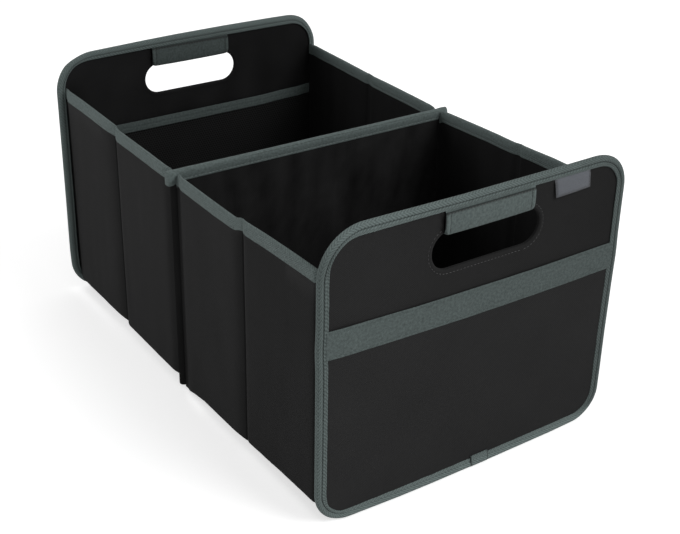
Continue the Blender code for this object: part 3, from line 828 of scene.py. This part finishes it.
def mesh_pocket():
    """A net of six sided holes and the narrow hem along its top."""
    piece = Piece()
    half, low, high = MESH_HALF, 12.6, MESH_TOP - 1.0
    pitch = 3.0
    rise = pitch * math.sqrt(3.0) / 2.0
    radius = pitch / math.sqrt(3.0)
    for r in range(int((high - low) / rise) + 2):
        for c in range(int(2 * half / pitch) + 2):
            cx = -half + c * pitch + (r % 2) * pitch / 2
            cz = low + r * rise
            if cx - pitch > half or cz - pitch > high:
                continue
            first = len(piece.points)
            flat = []
            for size in (radius, HOLE_SHARE * radius):
                for k in range(6):
                    a = math.radians(30.0 + 60.0 * k)
                    x = clamp(cx + size * math.cos(a), -half, half)
                    z = clamp(cz + size * math.sin(a), low, high)
                    free = (1.0 - ease(0.88, 1.0, abs(x) / half)) * ease(low, low + 40.0, z)
                    belly = 1.3 * free * (z / high) + 0.3 * ripple(x, z, 31, 50.0) * free
                    piece.points.append((x, NET_FACE + 0.45 - belly, z))
                    flat.append((x, z))
            for k in range(6):
                n = (k + 1) % 6
                corners = (k, n, 6 + n, 6 + k)
                piece.face([first + c for c in corners], [flat[c] for c in corners])
    net = finish_piece(piece, "mesh_pocket_net", [netting], "back_panel", ["mesh_pocket"], solid=False)
    hem = Piece()
    low, high = MESH_TOP - MESH_HEM, MESH_TOP
    section = banded(
        low, ((0.1, 0.1), (0.55, 0.0), (0.95, 0.5), (1.0, 1.2), (0.8, 1.8), (1.02, 2.5), (1.08, 4.6), (0.75, 5.6), (1.08, 6.6),
              (1.08, 8.0)),
        high, ((1.0, 2.2), (0.82, 1.6), (1.0, 0.9), (0.8, 0.2), (0.3, 0.0), (-0.2, 0.4), (-0.35, 2.0)))
    section += [(-0.3, low + 2.0)]
    rows = []
    stations = [mix(-150.3, 150.3, k / 80) for k in range(81)]
    for x in stations:
        free = 1.0 - ease(0.88, 1.0, abs(x) / 150.3)
        hang = curve(x, (10.0, -0.7), (60.0, 0.0), (85.0, 0.0), (112.0, 1.0), (140.0, 1.7))
        hang += 0.2 * ripple(x, 0.0, 33, 40.0) * free
        rows.append([
            (x, NET_FACE + 0.2 - out - 1.3 * free * z / high - 0.3 * ripple(x, z, 31, 50.0) * free, z - 0.6 * free + hang)
            for out, z in section])
    hem.tube(rows, stations, section)
    for k in (4, 7, 11):
        hem.column_seam(rows, k, (0, -1, 0), 0.1, 0, 2.4, 1.1, 0.45, 0.25)
    # Painted shade: the hem darkened evenly for its place deep inside the box.
    hem.tone = lambda x, y, z: 0.86
    band = finish_piece(hem, "mesh_pocket_band", [hem_tape, thread], "back_panel", ["mesh_hem"])


mesh_pocket()


# The divider, its cloth and its capping tape

def divider():
    """The cloth round the divider's board, hanging in soft upright folds."""
    piece = Piece()
    top = CAP_TOP - 2.0
    levels = [0.0, 0.25, 0.9, 2.0, 3.5, 5.5, 8.0, 11.0] + [mix(15.0, top - DIVIDER_LOW, k / 24) for k in range(25)]
    columns = 72
    rows, flat = [], []
    for up in levels:
        z = DIVIDER_LOW + up
        corner = 5.0
        half = DIVIDER_REACH - corner + math.sqrt(max(0.0, corner ** 2 - max(0.0, corner - up) ** 2))
        thick = DIVIDER_HALF * rounded(up, 1.6, 0.02)
        row, places = [], []
        for side in (-1, 1):
            for k in range(columns + 1):
                t = (2.0 * k / columns - 1.0) * -side
                x = half * math.copysign(abs(t) ** 0.9, t)
                edge = half - abs(x)
                body = rounded(edge, 1.8)
                drape = 0.42 * ripple(x, z * 0.16, 41 + side, 26.0) + 0.2 * ripple(x, z * 0.3, 43 + side, 60.0)
                for foot, lean, size in ((-88.0, 0.03, 0.5), (-45.0, -0.05, 0.55), (-20.0, 0.02, 0.4), (-128.0, 0.4, 0.7)):
                    drape += size * math.exp(-((x - foot - lean * (z - 200.0)) / 5.0) ** 2)
                calm = ease(2.0, 16.0, edge) * ease(222.0, 204.0, z) * ease(0.0, 14.0, up) * ease(14.0, 21.0, abs(x))
                row.append((x, side * (thick * body + clamp(drape, -0.7, 1.0) * calm), z))
                places.append((x, z))
        rows.append(row)
        flat.append(places + places[:1])
    first = piece.lattice(rows, lambda i, j: flat[i][j], 0, around=True)
    piece.ends(first, rows, [(0.0, 0.0)] * len(rows[0]))

    # Painted shade inside the box: the divider cloth darkened, with painted shade of soft folds higher up, a little
    # less dark at its ends.
    def tone(x, y, z):
        fold_shade = 0.4 * ripple(x, z * 0.25, 45, 17.0) + 0.25 * ripple(x, z * 0.6, 46, 8.0)
        return mix(0.56 * (1.0 + fold_shade * ease(60.0, 150.0, z)), 0.62, ease(150.0, 156.0, abs(x)))

    piece.tone = tone
    finish_piece(piece, "divider_cloth", [black], "divider", ["divider_sleeve", "divider_core"], sharp=75.0)


def divider_cap():
    """The tape over the divider's top edge, thicker where it wraps the ends."""
    cap = Piece()
    half = 3.75
    section = banded(
        CAP_LOW, ((0.35, 0.0), (0.0, 0.5), (0.0, 1.4), (0.28, 2.0), (0.0, 2.7), (-0.05, 6.0)),
        CAP_TOP, ((0.0, 3.6), (0.35, 2.0), (1.2, 0.8), (2.5, 0.15), (half, 0.0)))
    section = [(out - half, z) for out, z in section]
    section += [(-y, z) for y, z in reversed(section[:-1])]
    ends = [(160.6, 0.5), (160.4, 0.8), (159.9, 1.05), (158.9, 1.2), (156.5, 1.28), (153.0, 1.2), (150.0, 1.0)]
    stations = [(-x, f) for x, f in ends] + [(mix(-146.0, 146.0, k / 60), 0.97) for k in range(61)] + ends[::-1]
    rows = []
    for x, fat in stations:
        wave = 0.18 * ripple(x, 0.0, 47, 26.0) + 0.1 * ripple(x, 9.0, 48, 9.0)
        nub = ease(149.0, 157.0, abs(x))
        sag = 0.6 * ease(-140.0, -60.0, x)
        rows.append([
            (x, y * fat + wave * 0.4,
             (z - sag if z > CAP_TOP - 5.0 else z - 2.4 * nub) + wave * 0.5 * (z - CAP_LOW) / 11.0) for y, z in section])
    cap.tube(rows, [x for x, _ in stations], section)
    for k, out in ((3, -1), (len(section) - 4, 1)):
        cap.column_seam(rows[5:-5], k, (0, out, 0), 0.06, 1, 2.6, 1.1, 0.5, 0.28)
    cap.tone = lambda x, y, z: 1.25
    finish_piece(cap, "divider_cap_tape", [hem_tape, thread], "divider", ["divider_binding"], sharp=65.0)


divider()
divider_cap()


# The folding side walls. Distances run along the box from its middle, the same for all four walls.

TOPS = {
    (-1, -1): (((20.0, 233.0), (65.0, 232.5), (118.0, 232.4)), ((126.0, 235.2), (160.0, 237.1), (200.0, 238.3), (240.0, 238.9))),
    (1, -1): (((12.0, 233.5), (50.0, 234.2), (118.0, 234.6)), ((126.0, 237.2), (150.0, 238.1), (200.0, 239.0), (235.0, 238.7))),
    (-1, 1): (((20.0, 234.0), (65.0, 235.5), (118.0, 236.6)), ((126.0, 237.0), (165.0, 238.8), (240.0, 239.5))),
    (1, 1): (((20.0, 233.3), (80.0, 234.3), (118.0, 234.5)), ((130.0, 234.9), (175.0, 236.3), (235.0, 237.7))),
}
RIGHT_LOWS = (((WALL_START, 13.2), (118.0, 13.2)), ((126.0, 15.4), (240.0, 19.4)))
LOWS = {
    (-1, -1): (((WALL_START, 4.6), (12.0, 5.4), (22.0, 8.6), (45.0, 11.6), (118.0, 12.1)),
               ((126.0, 14.0), (160.0, 15.6), (200.0, 17.2), (240.0, 17.7))),
    (1, -1): (((WALL_START, 12.6), (20.0, 13.5), (118.0, 14.9)), ((126.0, 17.0), (240.0, 18.1))),
    (-1, 1): RIGHT_LOWS,
    (1, 1): RIGHT_LOWS,
}


def wall_shape(t, end, side):
    """Outer face, inner face, bottom and top of a wall's cloth at a distance from the middle."""
    outer, inner = 154.5, 150.9
    outer = mix(outer, 151.9, ease(19.0, 7.0, t))
    inner = mix(inner, 150.6, ease(13.0, 8.6, t))
    pinch = ease(234.5, 238.8, t)
    outer, inner = mix(outer, 152.2, pinch), mix(inner, 150.7, pinch)
    gap = abs(t - CREASE)
    after = t >= CREASE
    if side < 0:
        broad = after == (end > 0)
        outer -= 2.3 * max(0.0, 1.0 - gap / (26.0 if broad else 9.0)) ** 2 + 0.5 * (1.0 - ease(0.0, 2.0, gap))
        inner = min(mix(inner, 151.1, 1.0 - ease(0.0, 6.0, gap)), outer - 0.6)
    else:
        outer -= 0.9 * (1.0 - ease(0.2, 2.6, gap)) + (0.0 if after else 0.55 * (1.0 - ease(1.5, 21.0, gap)))
        inner = mix(inner, 152.3, 1.0 - ease(1.2, 6.0 if after else 8.0, gap))
    step = ease(-0.9, 0.9, t - CREASE)
    first, second = TOPS[end, side]
    foot, heel = LOWS[end, side]
    near = t - CREASE + (5.0 if (end, side) == (-1, -1) else 0.0)
    top = mix(curve(t, *first), curve(t, *second), ease(-8.0, 4.5, near)) - 2.6 * ease(9.0, 3.4, t)
    top += 0.3 * math.exp(-(near / 2.6) ** 2)
    return outer, inner, mix(curve(t, *foot), curve(t, *heel), step), top


def stations_between(a, b):
    """Distances along a wall, closer together at its hinges and crease."""
    marks = [4.5, 6.2, 7.1, 8.0, 8.9, 9.8, 10.8, 11.8, 13.0, 16.0]
    marks += [mix(20.0, 100.0, k / 16) for k in range(17)] + [104.0, 108.0, 112.0, 115.0, 117.5, 119.5, 121.0]
    marks += [CREASE + d for d in (-1.9, -1.3, -0.8, -0.4, 0.0, 0.4, 0.8, 1.3, 1.9, 2.7, 3.6, 5.0, 7.0)]
    marks += [mix(134.0, 228.0, k / 18) for k in range(19)]
    marks += [231.0, 233.5, 235.2, 236.4, 237.3, 238.2, 239.1, 240.0, 240.9, 242.2]
    inside = [m for m in marks if a + 0.3 < m < b - 0.3]
    return [a] + inside + [b]


def wall_section(t, tapes, end, side, joins):
    """One closed loop of a wall's cloth or of its top tape at a distance from the middle."""
    outer, inner, low, top = wall_shape(t, end, side)
    seed = 60 + 10 * side + 3 * end
    near = min(abs(t - j) for j in joins)
    calm = ease(1.0, 12.0, near)
    board = ease(9.0, 22.0, t) * (1.0 - ease(226.0, 238.0, t)) * ease(0.0, 16.0, abs(t - CREASE))
    if not tapes:
        levels = [low + 1.1, low + 2.5] + [mix(low + 6.0, top - 3.0, k / 15) for k in range(16)]

        def side_of(heights, face, away, first):
            points = []
            for z in heights:
                soft = 0.30 * ripple(t, z * 0.5, first, 40.0) + 0.14 * ripple(t, z * 0.22, first + 1, 13.0)
                points.append((face + away * clamp(soft, -0.5, 0.55) * calm * (0.3 + 0.7 * board), z))
            return points

        return (
            side_of(levels, outer, 1.0, seed) + [(mix(outer, inner, 0.3), top - 1.2), (mix(outer, inner, 0.7), top - 1.2)]
            + side_of(levels[::-1], inner, -1.0, seed + 2)
            + [(mix(inner, outer, 0.15), low + 0.35), (mix(inner, outer, 0.5), low), (mix(inner, outer, 0.85), low + 0.35)])
    wave = 0.16 * ripple(t, 0.0, seed + 5, 15.0) * calm
    edge = top - 11.8 + 0.3 * ripple(t, 4.0, seed + 6, 22.0) * calm
    out, back = outer + 0.5 + wave * 0.5, inner - 0.5 + wave * 0.5
    width = out - back
    high = top + wave * 0.6
    foot = ((-0.55, 0.0), (-0.1, 0.15), (0.02, 0.7), (0.0, 1.4), (-0.24, 2.0), (0.0, 2.7), (0.08, 5.5))
    head = ((0.0, 3.0), (0.1, 1.5), (0.27, 0.45))
    outside = [(out + d, edge + up) for d, up in foot] + [(out - share * width, high - down) for share, down in head]
    inside = [(back - d, edge + up) for d, up in foot] + [(back + share * width, high - down) for share, down in head]
    return outside + [(out - 0.5 * width, high)] + inside[::-1]


def wall_shade_and_streaks(x, y, z, end, side):
    """Painted shade on a wall's cloth below its tape, with soft random streaks down the boards. The right walls are
    darkened evenly; the left walls more, their outer boards most, and deeply by their creases, near the divider hinge
    and near the panel end.
    """
    t = abs(y)
    if z > 221.0:
        return 1.0
    if side > 0:
        return (0.94 if end < 0 else 0.88) * (1.0 + 0.25 * ripple(t, z * 0.12, 57 + end, 15.0))
    tone = mix(0.76, 0.65 if end < 0 else 0.73, ease(118.0, 128.0, t)) * (1.0 + 0.06 * ripple(t, z * 0.2, 57 + end, 18.0))
    broad = (t >= CREASE) == (end > 0)
    gap = abs(t - CREASE)
    tone *= 1.0 - 0.66 * max(0.0, 1.0 - gap / (18.0 if broad else 2.0)) ** 1.3 - 0.3 * math.exp(-(gap / 1.2) ** 2)
    return tone * mix(0.3 if end < 0 else 0.55, 1.0, ease(4.0, 19.0, t)) * mix(1.0, 0.5, ease(226.0, 241.0, t))


def wall(cell, end, side, hand):
    """One side wall of a cell in lengths. A length on one body rides on it; a length across a hinge, crease or panel
    joint is left unattached.
    """
    name = "wall_" + cell + "_" + hand
    inner_body, outer_body = name + "_inner", name + "_outer"
    cuts = [WALL_START, 66.0, 181.0, WALL_STOP] if side < 0 else [WALL_START, 66.0, 181.0, 239.0, WALL_STOP]
    joins = cuts[1:3]
    plan = [("hinge", "divider", inner_body, 6.2, 9.8), ("crease", inner_body, outer_body, CREASE - 2.4, CREASE + 2.4)]
    if side < 0:
        plan.append(("end", outer_body, cell + "_panel", 237.3, 240.9))
    else:
        plan += [("end", outer_body, None, 0, 0), ("flap", cell + "_panel", None, 0, 0)]
    for k, (label, first_body, second_body, start, stop) in enumerate(plan):
        piece = Piece()
        stations = stations_between(cuts[k], cuts[k + 1])
        for tapes in (False, True):
            loops = [wall_section(t, tapes, end, side, joins) for t in stations]
            rows = [[(side * x, end * t, z) for x, z in loop] for t, loop in zip(stations, loops)]
            if tapes:
                across = girth(loops[0])
                piece.lattice(rows, lambda i, j: (stations[i], across[j]), 1, around=True)
                for column, out in ((4, side), (16, -side)):
                    piece.column_seam(rows, column, (out, 0, 0), 0.05, 2, 2.6, 1.1, 0.5, 0.28)
            else:
                count = len(rows[0])
                piece.lattice(rows, lambda i, j: (stations[i], loops[i][j % count][1]), 0, around=True)
                # The wall's inner faces take the lining, whose darker colour is painted shade.
                for face in range(len(piece.faces)):
                    if 18 <= face % count < 37:
                        piece.slots[face] = 3
        piece.tone = lambda x, y, z: wall_shade_and_streaks(x, y, z, end, side)
        made = piece.make(name + "_" + label, [black, wall_tape, thread, lining_shaded], solid=True, sharp=60.0)
        if second_body:
            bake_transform(made)
        else:
            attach(made, first_body)
        board = {"hinge": "_inner_", "end": "_outer_"}.get(label)
        if board:
            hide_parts(*(name + board + layer for layer in ("sleeve", "binding", "core")))


for cell, end in (("front", -1), ("back", 1)):
    for side, hand in ((-1, "left"), (1, "right")):
        wall(cell, end, side, hand)


# The floor: two boards in each cell, a webbing loop to lift them, and the bottom cloth

def floor_board(name, body, end, near, far):
    """A base board's cloth. Its sides slant in from the hinge to the ridge."""
    piece = Piece()
    step = 1.0 if far > near else -1.0
    reach = abs(far - near)
    rows, flat = [], []
    distances = [0.0, 0.25, 0.9, 2.0] + [mix(5.0, reach - 5.0, k / 14) for k in range(15)]
    distances += [reach - 2.0, reach - 0.9, reach - 0.25, reach]
    columns = 36
    for d in distances:
        edge = min(d, reach - d)
        thick = rounded(edge, 1.6, 0.05)
        half = BOARD_HALF - d
        row, places = [], []
        for face in (1, -1):
            for k in range(columns + 1):
                t = (2.0 * k / columns - 1.0) * face
                x = half * t
                gone = half - abs(x)
                soft = 0.28 * ripple(x, d, 81 + end + face, 45.0) * ease(2.0, 14.0, min(gone, edge)) if face > 0 else 0.0
                z = 15.0 + face * (1.8 * thick * rounded(gone, 1.6)) + min(0.3, soft)
                row.append((x, end * (near + step * d), z))
                places.append((x, d))
        rows.append(row)
        flat.append(places + places[:1])
    first = piece.lattice(rows, lambda i, j: flat[i][j], 0, around=True)
    piece.ends(first, rows, [(0.0, 0.0)] * len(rows[0]))
    # The board cloth takes the lining, whose darker colour is painted shade.
    finish_piece(piece, name + "_cloth", [lining_shaded], body, [name + "_sleeve", name + "_core"], sharp=70.0)


def pull_loop(cell, end):
    """A flat loop of webbing by the ridge, to lift the base boards."""
    piece = Piece()
    far = CREASE - 5.4
    near = far - 56.0
    path = [(mix(near + 1.0, far - 0.8, k / 12), 17.4) for k in range(13)]
    path += [(far - 0.25, 17.55), (far, 17.87), (far - 0.25, 18.2)]
    path += [(mix(far - 0.8, near + 1.0, k / 12), 18.3 + 0.2 * math.sin(math.pi * k / 12)) for k in range(13)]
    path += [(near + 0.3, 18.2), (near, 17.87), (near + 0.3, 17.55)]
    section = [(-12.5, 0.4), (-12.3, 0.9), (-11.0, 1.0), (-6.0, 1.0)]
    section += [(0.0, 1.0)] + [(-x, fat) for x, fat in reversed(section)]
    section += [(x, -fat) for x, fat in section[-2:0:-1]]
    rows = []
    for k, (t, z) in enumerate(path):
        p, q = path[k - 1], path[(k + 1) % len(path)]
        dt, dz = q[0] - p[0], q[1] - p[1]
        size = math.hypot(dt, dz)
        nt, nz = dz / size * 0.28, -dt / size * 0.28
        rows.append([(x, end * (t + nt * fat), z + nz * fat) for x, fat in section])
    runs = girth(path)
    piece.lattice(rows, lambda i, j: (runs[i], section[j % len(section)][0]), 0, around=True, along=True)
    for x in (-11.3, 11.3):
        piece.seam([(x, end * (near + 2.0), 18.62), (x, end * (near + 14.0), 18.7)], (0, 0, 1), 1, 2.4, 0.9, 0.5, 0.14)
    name = "pull_loop_" + cell
    finish_piece(piece, name + "_webbing", [tape, thread], "floor_" + cell + "_mid", [name])


def cloth_reach(t, end, side):
    """Half the width of the bottom cloth. On the left it keeps clear of the walls' higher outer boards and lower foot."""
    if side > 0:
        return 150.3
    if end < 0 and t < 50.0:
        return 147.0
    return mix(150.3, 147.8, ease(116.0, 124.0, t))


def bottom_cloth(cell, end):
    """The cloth under the base boards."""
    piece = Piece()
    rows, flat = [], []
    for i in range(49):
        t = mix(WALL_START, 243.7, i / 48)
        row = []
        for j in range(61):
            u = j / 30 - 1.0
            x = u * cloth_reach(t, end, u)
            lift = (1.0 if end > 0 or u > 0.0 else 0.0) * ease(140.0, 147.0, abs(x))
            soft = 0.35 * ripple(x, t, 91 + end, 48.0) + 0.15 * ripple(x, t, 95 + end, 17.0)
            row.append((x, end * t, BOTTOM_LEVEL + lift + clamp(soft, -0.45, 0.45) * ease(148.0, 138.0, abs(x))))
        rows.append(row)
        flat.append([(p[0], p[1]) for p in row])
    piece.lattice(rows, lambda i, j: flat[i][j])
    name = "bottom_" + cell
    made = finish_piece(piece, name + "_cloth", [black], "divider", [name], solid=False)
    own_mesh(made)


for cell, end in (("front", -1), ("back", 1)):
    floor_board("floor_" + cell + "_mid", "floor_" + cell + "_mid", end, 4.5, 123.4)
    floor_board("floor_" + cell + "_end", "floor_" + cell + "_end", end, 242.6, 123.7)
    pull_loop(cell, end)
    bottom_cloth(cell, end)


# Floor, background and light

def stage_floor():
    mesh = bpy.data.meshes.new("studio_floor")
    size = 9.0
    mesh.from_pydata([(-size, -size, 0), (size, -size, 0), (size, size, 0), (-size, size, 0)], [], [(0, 1, 2, 3)])
    floor = bpy.data.objects.new("studio_floor", mesh)
    floor.location.z = -0.0004
    bpy.context.scene.collection.objects.link(floor)
    g = Graph("studio_white", (0.80, 0.80, 0.80), 0.9, specular=0.0)
    g.shader.inputs["Emission Color"].default_value = (1.0, 1.0, 1.0, 1.0)
    lift = g.math("MULTIPLY", g.node("LightPath").outputs["Is Camera Ray"], 0.50)
    g.tree.links.new(lift, g.shader.inputs["Emission Strength"])
    mesh.materials.append(g.material)


def background():
    world = bpy.data.worlds.new("studio")
    bpy.context.scene.world = world
    world.use_nodes = True
    tree = world.node_tree
    tree.nodes.clear()
    kinds = ("OutputWorld", "Background", "Background", "MixShader", "LightPath", "Math")
    out, lit, seen, join, ray, either = (tree.nodes.new("ShaderNode" + kind) for kind in kinds)
    either.operation = "MAXIMUM"
    for shader, strength in ((lit, 0.50), (seen, 1.0)):
        shader.inputs["Color"].default_value = (1.0, 1.0, 1.0, 1.0)
        shader.inputs["Strength"].default_value = strength
    for source, target in (
        (ray.outputs["Is Camera Ray"], either.inputs[0]), (ray.outputs["Is Transmission Ray"], either.inputs[1]),
        (either.outputs[0], join.inputs[0]), (lit.outputs[0], join.inputs[1]), (seen.outputs[0], join.inputs[2]),
        (join.outputs[0], out.inputs[0]),
    ):
        tree.links.new(source, target)


def lamp(name, place, aim, size, power):
    data = bpy.data.lights.new(name, "AREA")
    data.shape = "DISK"
    data.size = size
    data.energy = power
    made = bpy.data.objects.new(name, data)
    made.location = place
    made.rotation_euler = (Vector(aim) - Vector(place)).to_track_quat("-Z", "Y").to_euler()
    bpy.context.scene.collection.objects.link(made)


# Metres, and degrees for azimuth, elevation and roll. All are fitted to straight edges in the photograph.
CAMERA_PLACE = (-0.614898, -0.936544, 0.680664)
CAMERA_TURN = (-34.863, 26.026, 1.106)


def camera():
    azimuth, elevation, roll = (math.radians(a) for a in CAMERA_TURN)
    back = Vector((math.sin(azimuth) * math.cos(elevation), -math.cos(azimuth) * math.cos(elevation), math.sin(elevation)))
    right = Vector((math.cos(azimuth), math.sin(azimuth), 0.0))
    up = back.cross(right)
    right, up = right * math.cos(roll) + up * math.sin(roll), up * math.cos(roll) - right * math.sin(roll)
    data = bpy.data.cameras.new("camera")
    data.lens = 65.95
    data.sensor_width = 36.0
    data.shift_x = -0.0080
    data.shift_y = -0.0523
    data.clip_start = 0.05
    made = bpy.data.objects.new("camera", data)
    made.matrix_world = Matrix((*zip(right, up, back, CAMERA_PLACE), (0, 0, 0, 1)))
    bpy.context.scene.collection.objects.link(made)
    bpy.context.scene.camera = made


stage_floor()
background()
lamp("key", (1.1, -2.2, 2.1), (0.0, 0.0, 0.15), 2.0, 58.0)
lamp("fill", (-2.1, 1.3, 1.3), (0.0, 0.0, 0.1), 1.8, 25.0)
camera()
bpy.context.scene.view_settings.view_transform = "Standard"
